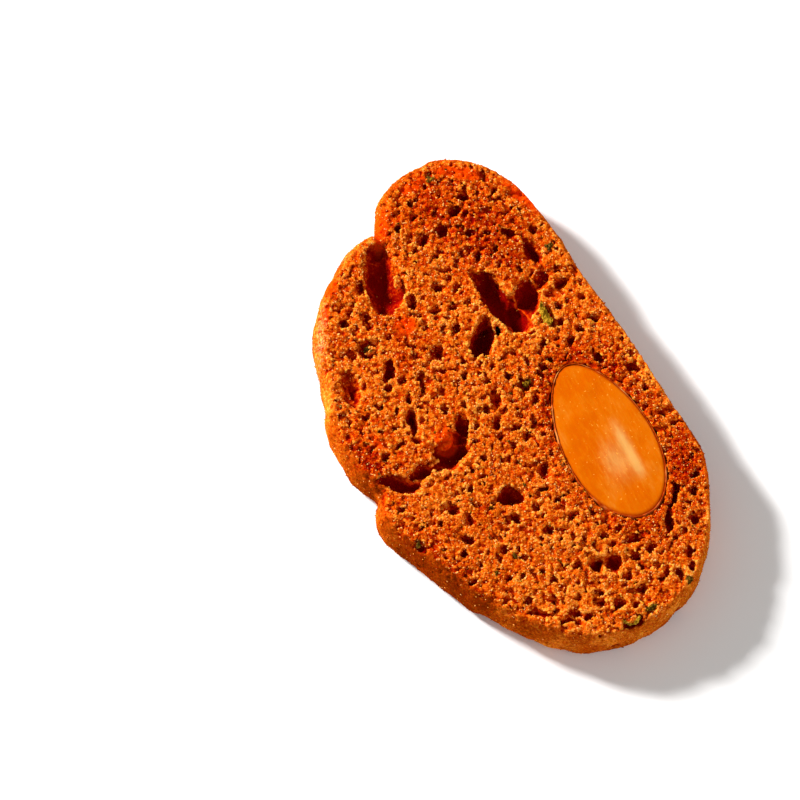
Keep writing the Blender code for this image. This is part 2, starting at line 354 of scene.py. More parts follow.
# distance from each listed cell to the nearest of scattered centres, about 1 between two
def granuleDistance(cells, spacing, seed):
    draw = np.random.default_rng(seed)
    counts = (cells.max(0) / spacing).astype(int) + 4
    centres = draw.uniform(0.15, 0.85, (3, counts.prod())).astype(np.float32)
    places = [(cells[:, axis] / spacing + 1).astype(np.float32) for axis in range(3)]
    homes = [(place - 0.5).astype(np.int32) for place in places]
    best = np.full(len(cells), 9.0, np.float32)
    for step in np.ndindex(2, 2, 2):
        box = [home + side for home, side in zip(homes, step)]
        index = (box[0] * counts[1] + box[1]) * counts[2] + box[2]
        away = sum((place - side - centre[index]) ** 2 for place, side, centre in zip(places, box, centres))
        np.minimum(best, away, out=best)
    return np.minimum(np.sqrt(best), 1.0)


# drops loose scraps and sealed bubbles, keeping the one outer surface
def largestSurface(points, faces):
    label = np.arange(len(points))
    edges = np.concatenate([faces[:, :2], faces[:, 1:]])
    while len(edges):
        ends = label[edges]
        apart = ends[:, 0] != ends[:, 1]
        edges, ends = edges[apart], ends[apart]
        label[ends.max(1)] = ends.min(1)
        while (label != label[label]).any():
            label = label[label]
    names, counts = np.unique(label, return_counts=True)
    kept = label == names[counts.argmax()]
    faces = faces[kept[faces[:, 0]]]
    renumber = np.cumsum(kept) - 1
    return points[kept], renumber[faces]


# The crumb

crumbShape = {
    "voxel": 0.13,
    "pad": 6,
    "band": 9.0,
    "kernelBand": 12.0,
    "kernelRise": 0.35,  # from this far under the cut face the kernel's outline goes straight up
    "skinRoom": 0.14,  # left round the kernel for its skin
    "growIn": 0.9,  # how far round the kernel the crumb closes in on it
    "growEnds": (0.12, 0.05),  # above the underside and below the cut face, where that stops
    "floorGap": 0.02,
    "poreCells": 34,  # a gap in the outline up to this wide is a pore
    "poreSink": 0.1,
    "poreDepth": 2.2,
    "warpAcross": 1.5,
    "warpBy": 0.30,
    "warpSeeds": ((21, 22), (23, 24)),
    "bubbles": (  # how many, lowest, highest
        (3000, sliceTop - 0.35, sliceTop + 0.15), (700, 1.0, sliceTop - 0.5), (500, 0.0, 0.5),
    ),
    "bubbleRadius": (0.10, 0.38),
    "bubbleBias": 2.6,  # higher means more small ones
    "bubbleStretch": (0.65, 1.5),
    "bubbleLean": 0.5,
    "crustSkin": 0.30,
    "nearCells": 3.2,  # granules and crags reach this far either side of the surface
    "granuleAcross": 0.40,
    "granuleDepth": 0.27,
    "granuleRise": 0.25,
    "pitAcross": 0.50,
    "pitDepth": 0.34,
    "cragAcross": 0.85,
    "cragDepth": 0.50,
    "cragRise": 0.32,
    "cragPatch": 4.0,
    "cragShare": (0.45, 0.1),  # on average, and at least
    "dentAcross": 1.9,
    "dentDepth": 0.17,
    "dentReach": (1.5, 1.2),  # inwards from the crust, and down from the cut face
    "waveAcross": 4.5,
    "waveDepth": 0.16,
    "waveRise": 0.2,
    "roughDepth": (0.5, 1.7),  # below the cut face, where the walls turn smooth
    "roughLeast": 0.16,
    "roughRim": (0.1, 0.5, 0.25),  # inwards from the crust: where it starts, how fast, the least
    "shutPasses": (3, 8),
    "brownRing": (0.8, 1.5),  # round the kernel: how brown and how wide
    "triangles": 196000,
    "seed": 4,
}

# Smaller pores than the solid has: x, y, length, width, turn in degrees
smallPores = (
    (-12.0, 24.2, 1.2, 1.0, 0), (-17.3, 9.6, 1.2, 1.3, 0), (-10.3, 1.1, 1.3, 0.9, 90),
    (3.9, 3.4, 1.2, 1.0, 0), (5.8, 11.4, 1.2, 0.8, -62), (16.0, 1.0, 0.9, 1.0, 0),
    (-2.9, -1.8, 0.9, 1.0, 0), (0.6, -4.3, 0.9, 1.0, 0), (-4.7, -23.2, 1.2, 1.0, 0),
    (15.2, -21.3, 0.9, 1.0, 0), (7.6, -21.1, 1.2, 1.2, 32), (10.5, -17.7, 1.2, 0.8, 0),
    (14.2, -17.7, 1.7, 1.0, 0), (16.0, -19.0, 0.9, 0.8, 0), (10.2, -24.6, 1.2, 0.6, 0),
    (10.0, -25.6, 1.4, 0.8, 0), (17.5, -22.6, 1.2, 0.7, 26), (20.9, -21.5, 1.3, 0.9, 81),
    (4.8, -25.5, 1.2, 0.8, 0), (7.4, -27.2, 1.7, 1.0, -11), (6.0, -27.9, 1.2, 0.7, 21),
    (7.8, -28.4, 0.9, 0.8, 0), (4.6, 9.8, 2.9, 1.3, 110), (-11.6, 22.6, 1.1, 0.8, 0),
)
# Lumps that stand in the big hollows: x, y, height, length, width, depth, turn
lumps = (
    (-8.1, -5.4, 4.9, 2.4, 2.2, 1.8, 0), (0.2, 13.6, 5.5, 2.0, 1.0, 1.4, 65),
    (-13.3, 14.6, 5.6, 1.6, 0.8, 1.1, 80), (-13.6, 10.7, 5.7, 1.3, 0.7, 0.9, 60),
    (-9.6, -8.1, 5.3, 1.6, 0.8, 1.0, 30),
)

# Crumb and crust drawn browner, the long strip on the lower-left crust as a painted shadow: x, y, length,
# width, turn in degrees, strength
brownAndShadowPlaces = (
    (19.6, -9.5, 12.0, 5.5, 80, 1.0), (-5.5, 21.3, 17.0, 7.5, -35, 1.0), (-14.0, 22.0, 5.0, 3.0, 60, 0.6),
    (3.0, 15.0, 6.0, 4.0, -55, 0.5), (-12.5, 6.0, 4.0, 8.0, 0, 0.4), (-8.5, -22.6, 24.0, 4.0, -38, 1.1),
    (-16.6, -9.6, 9.0, 4.0, -58, 1.0),
)
# Crumb and crust that stayed smooth and red: x, y, length, width, turn in degrees, strength
redPlaces = (
    (-15.5, 21.0, 5.4, 1.7, 85, 0.8), (-6.1, 28.2, 7.0, 1.6, -8, 0.7), (-11.6, 26.6, 4.0, 1.4, 35, 0.7),
    (1.5, 25.2, 7.0, 1.7, -45, 0.7), (8.5, 14.6, 12.0, 1.5, -57, 0.2), (15.5, 4.2, 12.0, 1.2, -56, 0.2),
    (-20.9, 17.0, 3.0, 1.8, 60, 0.9), (-21.4, 13.7, 2.6, 1.6, 80, 0.9), (-22.1, 9.9, 3.0, 1.3, 85, 0.7),
    (-12.6, 8.7, 2.4, 2.2, 0, 0.8), (-7.8, -5.4, 2.6, 2.6, 0, 0.9), (-16.0, -6.0, 3.0, 1.4, -40, 0.6),
    (-10.0, 24.4, 3.0, 0.9, 20, 0.35),
)

# Crust with a dusting of pale grains, paler still on the left side that faces the light as a painted
# highlight, and single pale shards, the one beside the through-hole a painted glint: x, y, length, width,
# turn, strength
paleAndLitPlaces = (
    (-22.6, 7.5, 19.0, 3.0, 88, 0.8), (-19.6, 17.6, 4.0, 1.6, 55, 0.7), (22.0, -19.0, 9.0, 1.6, 78, 0.5),
    (-1.7, 8.3, 1.0, 0.6, 60, 1.0), (-13.2, 13.9, 1.0, 0.7, 40, 0.9), (-13.4, 15.2, 1.2, 0.6, 60, 0.8),
)

# Rounded crust, the same figures as the solid's
crustBulge = {"mean": 0.75, "swing": 0.5, "leastTowards": 5.0}
crustProfile = ((0.0, 0.30), (0.16, 0.78), (0.42, 1.0), (0.68, 0.88), (0.88, 0.46), (1.0, 0.0))


def solidField(name, low, shape, look, band):
    points, triangles = meshArrays(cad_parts[name].data)
    cells = ((points / mm - low) / look["voxel"]).astype(np.float32)
    grid = openvdb.FloatGrid.createLevelSetFromPolygons(
        cells, triangles=triangles.astype(np.uint32), halfWidth=band)
    field = np.empty(shape, np.float32)
    grid.copyToArray(field)
    return field * look["voxel"]


# how far each column lies inside the slice's outline, in millimetres
def edgeDistance(filled, cell):
    far = np.where(filled, 60.0, 0.0).astype(np.float32)
    steps = [(1, 0, 1.0), (0, 1, 1.0), (1, 1, 1.414), (1, -1, 1.414), (2, 1, 2.236), (1, 2, 2.236)]
    for _ in range(30):
        for dx, dy, length in steps:
            for sign in (1, -1):
                moved = np.roll(far, (sign * dx, sign * dy), (0, 1)) + length
                np.minimum(far, moved, out=far)
    return far * cell


def stampBubbles(field, low, cell, edge, look):
    draw = np.random.default_rng(look["seed"])
    count = sum(number for number, _, _ in look["bubbles"])
    size = np.array(field.shape) * cell
    spots = low + draw.uniform(0, 1, (count, 3)) * size
    spots[:, 2] = np.concatenate([
        draw.uniform(bottom, top, number) for number, bottom, top in look["bubbles"]])
    small, large = look["bubbleRadius"]
    radii = small + (large - small) * draw.uniform(0, 1, count) ** look["bubbleBias"]
    stretch = np.sort(draw.uniform(*look["bubbleStretch"], (count, 3)), 1)[:, ::-1]
    spins = spinMatrices(draw.uniform(0, math.pi, count), draw.normal(0, look["bubbleLean"], count))
    inwards = sample(edge, (spots[:, :2] - low[:2]) / cell)
    for index in np.flatnonzero(inwards > look["crustSkin"] + radii):
        stampBlob(field, low, cell, spots[index], 2 * radii[index] * stretch[index], spins[index])
    print("bubbles cut into the crumb")


# bends pores and edges sideways by noise, so that none stays a neat oval
def warpSideways(field, edge, cell, look):
    shape = field.shape
    cells = look["warpAcross"] / cell
    alongX, alongY = (
        latticeNoise(shape, cells, broad) + 0.6 * latticeNoise(shape, cells / 2.4, fine)
        for broad, fine in look["warpSeeds"])
    push = look["warpBy"] / cell * np.clip(0.15 + 0.55 * edge, 0.15, 1)[:, :, None].astype(np.float32)
    placeX = np.clip(np.arange(shape[0])[:, None, None] + push * alongX, 0, shape[0] - 1.01)
    placeY = np.clip(np.arange(shape[1])[None, :, None] + push * alongY, 0, shape[1] - 1.01)
    lowX, lowY = placeX.astype(int), placeY.astype(int)
    shareX, shareY = placeX - lowX, placeY - lowY
    layer = np.broadcast_to(np.arange(shape[2])[None, None, :], shape)
    near = field[lowX, lowY, layer] * (1 - shareX) + field[lowX + 1, lowY, layer] * shareX
    far = field[lowX, lowY + 1, layer] * (1 - shareX) + field[lowX + 1, lowY + 1, layer] * shareX
    return (near * (1 - shareY) + far * shareY).astype(np.float32)


# depth under the rounded crust's surface, whatever the height
def crustDepth(points, edge, low, cell):
    slopeX, slopeY = np.gradient(blurred(edge, 8, (0, 1)), cell)
    flat = (points[:, :2] - low[:2]) / cell
    inwards = sample(edge, flat)
    angle = np.arctan2(-sample(slopeY, flat), -sample(slopeX, flat))
    swing = np.cos(angle - math.radians(crustBulge["leastTowards"]))
    bulge = crustBulge["mean"] - crustBulge["swing"] * swing
    heights, reaches = zip(*crustProfile)
    reach = np.interp(points[:, 2] / sliceTop, heights, reaches)
    return inwards - (1 - reach) * bulge


def crumbField(look):
    cell = look["voxel"]
    boxLow, boxHigh = (np.array(corner, np.float32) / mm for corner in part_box("biscuit"))
    low = boxLow - look["pad"] * cell
    shape = tuple(np.ceil((boxHigh + look["pad"] * cell - low) / cell).astype(int))
    field = solidField("biscuit", low, shape, look, look["band"])
    kernel = solidField("almond", low, shape, look, look["kernelBand"])
    heights = low[2] + cell * np.arange(shape[2])
    layer = int((sliceTop - look["kernelRise"] - low[2]) / cell)
    kernel[:, :, layer:] = np.minimum(kernel[:, :, layer:], kernel[:, :, layer:layer + 1])

    # the baked crumb closes in on the kernel but for its skin
    wall = np.maximum(look["skinRoom"] - kernel, kernel - look["growIn"])
    bottom, top = look["growEnds"]
    ends = np.maximum(heights - (sliceTop - top), bottom - heights)[None, None, :]
    field = np.minimum(field, np.maximum(wall, ends)).astype(np.float32)

    outline = field[:, :, int((sliceTop / 2 - low[2]) / cell)] < 0
    outline |= kernel.min(2) < 0.3
    for turned in (outline, outline.T):  # pores count as inside
        for row in turned:
            inside = np.flatnonzero(row)
            gaps = np.flatnonzero(np.diff(inside) > 1)
            for gap in gaps[np.diff(inside)[gaps] < look["poreCells"]]:
                row[inside[gap]:inside[gap + 1]] = True
    edge = edgeDistance(outline, cell)

    for x, y, length, width, turn in smallPores:
        spin = spinMatrices(np.radians(turn), 0.0)
        size = (length, width, look["poreDepth"])
        stampBlob(field, low, cell, (x, y, sliceTop - look["poreSink"]), size, spin)
    stampBubbles(field, low, cell, edge, look)
    for x, y, height, length, width, depth, turn in lumps:
        spin = spinMatrices(np.radians(turn), 0.0)
        stampBlob(field, low, cell, (x, y, height), (length, width, depth), spin, cut=False)
    return warpSideways(field, edge, cell, look), kernel, edge, low, cell, heights


def roughen(field, edge, heights, cell, look):
    shape = field.shape
    shallow, deep = look["roughDepth"]
    onFace = np.clip((heights - (sliceTop - deep)) / (deep - shallow), look["roughLeast"], 1)[None, None, :]
    start, fade, least = look["roughRim"]
    inCrumb = np.clip((edge - start) / fade, least, 1)[:, :, None]
    rough = (onFace * inCrumb).astype(np.float32)
    near = np.argwhere(np.abs(field) < look["nearCells"] * cell)
    spots = tuple(near.T)
    granules = granuleDistance(near, look["granuleAcross"] / cell, 31)
    field[spots] += look["granuleDepth"] * rough[spots] * (granules ** 2 - look["granuleRise"])
    crags = granuleDistance(near, look["cragAcross"] / cell, 34)
    usual, least = look["cragShare"]
    craggy = np.clip(usual + latticeNoise(shape, look["cragPatch"] / cell, 35)[spots], least, 1)
    field[spots] += look["cragDepth"] * craggy * rough[spots] * (crags ** 2 - look["cragRise"])
    field += look["pitDepth"] * rough * np.maximum(latticeNoise(shape, look["pitAcross"] / cell, 32), 0)
    inwards, down = look["dentReach"]
    onCrust = np.clip(inwards - edge, 0, 1)[:, :, None] * np.clip((sliceTop - heights) / down, 0, 1)
    dents = latticeNoise(shape, look["dentAcross"] / cell, 36)
    field += look["dentDepth"] * onCrust.astype(np.float32) * dents
    wave = latticeNoise(shape, look["waveAcross"] / cell, 33)
    field += (look["waveDepth"] * onFace * np.clip(wave + look["waveRise"], 0, 1)).astype(np.float32)
    print("granules and pits in the field")
    return field


# how much each point belongs to the listed places, from 0 to 1
def placeShare(points, places):
    share = np.zeros(len(points))
    for x, y, length, width, turn, strength in places:
        c, s = math.cos(math.radians(turn)), math.sin(math.radians(turn))
        along = ((points[:, 0] - x) * c + (points[:, 1] - y) * s) * 2 / length
        across = ((points[:, 1] - y) * c - (points[:, 0] - x) * s) * 2 / width
        share = np.maximum(share, strength * np.exp(-along ** 2 - across ** 2))
    return share


def makeCrumb(look):
    field, kernel, edge, low, cell, heights = crumbField(look)
    field = roughen(field, edge, heights, cell, look)
    field = np.maximum(field, look["skinRoom"] - kernel)  # nothing grows into the kernel
    field = np.maximum(field, look["floorGap"] - heights[None, None, :]).astype(np.float32)  # or the floor

    # how shut in each spot is, close up and further off
    # the colour turns this into painted shade in pits and a painted highlight on proud edges
    solid = (field < 0).astype(np.float32)
    closePasses, widePasses = look["shutPasses"]
    close = blurred(solid, closePasses)
    wide = blurred(close[::2, ::2, ::2], widePasses)

    grid = openvdb.FloatGrid(3.0)
    grid.copyFromArray(np.ascontiguousarray(field))
    cells, triangles, quads = grid.convertToPolygons(0.0, 0.0)
    faces = np.concatenate([quads[:, [0, 1, 2]], quads[:, [0, 2, 3]], triangles.reshape(-1, 3)])
    cells, faces = largestSurface(cells, faces.astype(np.int64))
    a, b, c = (cells[faces[:, k]].astype(float) for k in range(3))
    if np.einsum("ij,ij->i", a, np.cross(b, c)).sum() < 0:
        faces = faces[:, ::-1]
    print("crumb surface has", len(faces), "triangles before thinning")

    crumb = newPiece("biscuitCrumb", cells * cell + low, faces)
    thin = crumb.modifiers.new("Thin", "DECIMATE")
    thin.ratio = look["triangles"] / len(faces)
    graph = bpy.context.evaluated_depsgraph_get()
    made = bpy.data.meshes.new_from_object(crumb.evaluated_get(graph))
    crumb.modifiers.clear()
    thick, crumb.data = crumb.data, made
    bpy.data.meshes.remove(thick)
    made.name = "biscuitCrumb"
    made.shade_smooth()

    points, faces = meshArrays(made)
    points = points / mm
    places = (points - low) / cell
    ringStrength, ringWidth = look["brownRing"]
    ring = ringStrength * np.exp(-(kernelDistance(kernelShape, points) / ringWidth) ** 2)
    marks = {
        "shutIn": sample(close, places),
        "shutInWide": sample(wide, places / 2),
        "crustDepth": crustDepth(points, edge, low, cell),
        "below": sliceTop - points[:, 2],
        "brownAndShadow": np.maximum(placeShare(points, brownAndShadowPlaces), ring),
        "red": placeShare(points, redPlaces),
        "pale": placeShare(points, paleAndLitPlaces),
        "tint": np.zeros(len(points)),
        "stand": np.zeros(len(points)),
    }
    for key, values in marks.items():
        setAttribute(made, key, values)
    print("crumb thinned to", len(faces), "triangles")
    return crumb, points, faces, marks


# Loose-looking granules that sit half sunk in the crumb and on the crust

# crust and deep say how thickly they lie on the crust and down in the hollows, against the cut face
grainKinds = {
    "crumbGrains": {"count": 23500, "radius": (0.08, 0.22), "sink": 0.35, "crust": 0.06, "deep": 0.08,
                    "seed": 51},
    "crumbGrit": {"count": 22000, "radius": (0.05, 0.11), "sink": 0.15, "crust": 0.06, "deep": 0.10,
                  "seed": 52},
    "crumbSparkle": {"count": 8000, "radius": (0.05, 0.12), "sink": -0.10, "crust": 0.12, "deep": 0.03,
                     "seed": 54},
    "crustGrit": {"count": 16000, "radius": (0.05, 0.11), "sink": 0.50, "crust": 1.0, "deep": 0.0,
                  "seed": 53},
}
grainSpread = {
    "crustFrom": 0.15,  # depth in the crust where it gives way to crumb
    "crustFade": 0.3,
    "lowest": (5.6, 5.0),  # below the cut face, on the crust and in the crumb
    "faceShare": 1.15,
    "faceFade": 1.3,
    "redThins": 0.8,
    "kernelGap": 0.25,
    "radiusBias": 1.6,
    "cornerOut": (0.7, 1.3),
    "stretch": (0.55, 1.5),
    "floorGap": 0.02,
    "stand": 0.15,  # the highest over the solid's top
}


# a unit octahedron
def grainBlank():
    points = np.array([(1, 0, 0), (-1, 0, 0), (0, 1, 0), (0, -1, 0), (0, 0, 1), (0, 0, -1)], float)
    span = np.linalg.norm(points[:, None] - points[None], axis=2)
    side = span[span > 0.01].min() * 1.01
    faces = []
    for i, j, k in np.ndindex(*(len(points),) * 3):
        if i < j and i < k and j != k and max(span[i, j], span[j, k], span[k, i]) < side:
            if np.dot(points[i], np.cross(points[j], points[k])) > 0:
                faces.append((i, j, k))
    return points, np.array(faces)


def randomSpins(draw, count):
    q = draw.normal(0, 1, (count, 4))
    w, x, y, z = (q / np.linalg.norm(q, axis=1, keepdims=True)).T
    return np.stack([
        np.stack([1 - 2 * (y * y + z * z), 2 * (x * y - z * w), 2 * (x * z + y * w)], -1),
        np.stack([2 * (x * y + z * w), 1 - 2 * (x * x + z * z), 2 * (y * z - x * w)], -1),
        np.stack([2 * (x * z - y * w), 2 * (y * z + x * w), 1 - 2 * (x * x + y * y)], -1),
    ], -2)


def scatterGrains(name, look, spread, points, faces, marks, material):
    draw = np.random.default_rng(look["seed"])
    count = look["count"]
    a, b, c = (points[faces[:, k]] for k in range(3))
    normals = np.cross(b - a, c - a)
    areas = np.linalg.norm(normals, axis=1)
    normals /= np.maximum(areas, 1e-9)[:, None]
    means = {key: values[faces].mean(1) for key, values in marks.items()}
    crustLowest, crumbLowest = spread["lowest"]
    onCrust = np.clip(1 - (means["crustDepth"] - spread["crustFrom"]) / spread["crustFade"], 0, 1)
    onCrust = onCrust * (means["below"] < crustLowest)
    crumbShare = np.clip(spread["faceShare"] - means["below"] / spread["faceFade"], look["deep"], 1)
    crumbShare = crumbShare * (means["below"] < crumbLowest) * (1 - spread["redThins"] * means["red"])
    crumbShare = crumbShare * (kernelDistance(kernelShape, points[faces].mean(1)) > spread["kernelGap"])
    weights = areas * (look["crust"] * onCrust + (look["crust"] < 1) * (1 - onCrust) * crumbShare)
    chosen = draw.choice(len(faces), count, p=weights / weights.sum())
    share = np.sort(draw.uniform(0, 1, (count, 2)), 1)
    share = np.stack([share[:, 0], share[:, 1] - share[:, 0], 1 - share[:, 1]], 1)
    spots = np.einsum("ij,ijk->ik", share, points[faces[chosen]])

    small, large = look["radius"]
    radius = small + (large - small) * draw.uniform(0, 1, count) ** spread["radiusBias"]
    blank, sides = grainBlank()
    shape = blank[None] * draw.uniform(*spread["cornerOut"], (count, len(blank), 1))
    shape = shape * draw.uniform(*spread["stretch"], (count, 1, 3)) * radius[:, None, None]
    shape = np.einsum("nij,nvj->nvi", randomSpins(draw, count), shape)
    stand = np.einsum("nvi,ni->nv", shape, normals[chosen])
    middles = spots - normals[chosen] * (look["sink"] * radius)[:, None]
    made = (shape + middles[:, None]).reshape(-1, 3)
    made[:, 2] = np.clip(made[:, 2], spread["floorGap"], cadHigh[2] / mm + spread["stand"])
    tint = draw.uniform(-1, 1, count)
    repeated = {key: np.repeat(values[chosen], len(blank)) for key, values in means.items()}
    repeated["tint"] = np.repeat(tint, len(blank))
    # how far each corner stands out, which the colour turns into a painted highlight on grain tips
    repeated["stand"] = (stand / radius[:, None]).ravel()
    corners = (sides[None] + len(blank) * np.arange(count)[:, None, None]).reshape(-1, 3)
    return newPiece(name, made, corners, material, repeated)


crumbFinish = {
    "lightStart": 0.03,
    # The shut-in, wide, hollow and cavity terms are painted shade: pits, hollows and deep cavities are drawn
    # darker, proud edges lighter as a painted highlight.
    "light": {  # what makes a spot lighter or darker
        "shutShade": -1.25, "wide": -0.60, "hollowShade": -0.30, "cavityShade": -0.40, "speckle": 1.45, "dust": 0.65,
        # stand paints a highlight on the tips of grains
        "patch": 0.45, "drift": 0.25, "tint": 0.25, "stand": 0.14, "brownAndShadow": -0.34,
    },
    "crustStart": -0.95,
    # the crust's brown term darkens the browner places, the lower-left strip as a painted shadow
    "crustLight": {"grit": 1.7, "bake": 1.1, "tint": 0.2, "brownAndShadow": -0.45},
    "hollowDepth": (0.45, 1.9),
    "cavityDepth": (1.4, 3.6),
    "crustThick": (0.08, 0.36),
    "shades": (
        (0.00, (0.22, 0.0012, 0.0009)), (0.16, (0.32, 0.0060, 0.0004)), (0.34, (0.44, 0.024, 0.0004)),
        (0.52, (0.57, 0.064, 0.0010)), (0.76, (0.75, 0.145, 0.005)), (1.00, (0.95, 0.33, 0.040)),
    ),
    "crust": ((0.0, (0.20, 0.018, 0.0004)), (0.36, (0.44, 0.060, 0.0014)), (0.70, (0.78, 0.19, 0.012)),
              (1.0, (0.95, 0.40, 0.07))),
    "red": ((0.0, (0.48, 0.010, 0.0002)), (0.5, (0.80, 0.055, 0.0004)), (1.0, (0.95, 0.19, 0.003))),
    "pale": (0.92, 0.46, 0.15),
    # pale crisp crumbs, the pale partly a painted glint, and their darker colour deeper down as painted
    # shade
    "sparkle": (1.0, 0.62, 0.20),
    "sparkleDeep": (0.92, 0.32, 0.03),
    "glow": 0.6,
    "depth": (1.0, 0.20, 0.03),
    "bumpAcross": 0.16,
    "bumpHeight": 0.09,
}


def crumbMaterial(name, look, roughness, grain):
    sheet = NodeSheet(name)
    below = sheet.attribute("below")
    parts = {
        # shut-in and depth below the cut face, which paint shade into pits and hollows
        "shutShade": sheet.attribute("shutIn"),
        "wide": sheet.attribute("shutInWide"),
        "hollowShade": sheet.ramp(below, *look["hollowDepth"]),
        "cavityShade": sheet.ramp(below, *look["cavityDepth"]),
        "speckle": sheet.noise(0.42, 2.0, 0.7),
        "dust": sheet.noise(0.18, 1.0, 0.7),
        "patch": sheet.noise(2.6, 3.0),
        "drift": sheet.noise(9.0, 2.0),
        "grit": sheet.noise(0.32, 3.0, 0.75),
        "bake": sheet.noise(4.0, 3.0),
        "tint": sheet.attribute("tint"),
        "stand": sheet.attribute("stand"),
        "brownAndShadow": sheet.attribute("brownAndShadow"),
    }
    terms = [(parts[key], share) for key, share in look["light"].items()]
    colour = sheet.shades(sheet.total(look["lightStart"], *terms), look["shades"])
    terms = [(parts[key], share) for key, share in look["crustLight"].items()]
    light = sheet.total(look["crustStart"], *terms)
    onCrust = sheet.ramp(sheet.attribute("crustDepth"), *look["crustThick"], 1.0, 0.0)
    colour = sheet.mix(onCrust, colour, sheet.shades(light, look["crust"]))
    redShare = sheet.total(-0.35, (sheet.attribute("red"), 1.3), (parts["patch"], 0.5))
    # the red zones also take painted shade in shut-in spots
    redToneAndShade = sheet.total(0.35, (parts["speckle"], 0.7), (parts["shutShade"], -0.6))
    colour = sheet.mix(sheet.ramp(redShare, 0.1, 0.5, 0.0, 0.9), colour, sheet.shades(redToneAndShade, look["red"]))
    # pale dusting, with a painted highlight on the lit left crust and a painted glint beside the
    # through-hole
    paleShare = sheet.total(-0.95, (sheet.attribute("pale"), 0.7), (parts["speckle"], 1.1))
    colour = sheet.mix(sheet.ramp(paleShare, 0.0, 0.6), colour, look["pale"])
    if grain:
        return sheet.finish(colour, roughness, 0.0)
    sheet.glow(look["glow"], look["depth"])
    relief = sheet.noise(look["bumpAcross"], 3.0, 0.75)
    return sheet.finish(colour, roughness, 0.0, sheet.bump(relief, look["bumpHeight"], 0.8))


# clear crisp crumbs that catch the light, their pale colour partly a painted glint, the deeper ones drawn
# darker as painted shade
def sparkleMaterial(look):
    sheet = NodeSheet("crumb sparkle")
    share = sheet.total(0.45, (sheet.attribute("tint"), 0.45), (sheet.attribute("below"), -0.25))
    return sheet.finish(sheet.mix(share, look["sparkleDeep"], look["sparkle"]), 0.38, 0.25)


# The almond's kernel, sliced through, and the skin round it

kernelShape = {
    "centre": (11.1, -5.6),
    "length": 20.6,
    "width": 10.7,
    "turn": 117.0,
    "bulge": 0.35,
    "dish": 0.15,
    "around": 200,
    "faceRings": 38,
    "wallRings": 14,
    "hub": 0.03,  # share of the size at which the rings of the faces start
    "crown": 0.10,
    "grooves": 0.010,
    "waves": 0.05,
    "rounding": (0.96, 0.10),  # from this share of the size, by this much at the rim
    "seam": -1.7,
    "seamWide": 0.60,
    "bloomOff": (1.9, -3.0),
    "bloomWide": (1.7, 2.6),
}


# an oval a little blunter at its lower end, moved out by grow
def kernelOutline(look, angles, grow=0.0, scale=1.0):
    along = np.cos(angles)
    across = np.sin(angles) * (1 - 0.13 * along - 0.05 * along ** 2)
    length = (look["length"] / 2 * scale + grow) * along
    width = (look["width"] / 2 * scale + grow) * across
    turn = math.radians(look["turn"])
    x = look["centre"][0] + length * math.cos(turn) - width * math.sin(turn)
    y = look["centre"][1] + length * math.sin(turn) + width * math.cos(turn)
    return x, y, length, width


# roughly how far outside the kernel each place lies, in millimetres
def kernelDistance(look, places):
    turn = math.radians(look["turn"])
    x, y = places[:, 0] - look["centre"][0], places[:, 1] - look["centre"][1]
    along = x * math.cos(turn) + y * math.sin(turn)
    across = y * math.cos(turn) - x * math.sin(turn)
    return (np.hypot(along / look["length"], across / look["width"]) * 2 - 1) * look["width"] / 2


def wallBulge(look, share):
    return look["bulge"] * np.interp(share, (0.0, 0.2, 0.5, 0.8, 1.0), (-0.1, 0.6, 1.0, 0.7, 0.0))


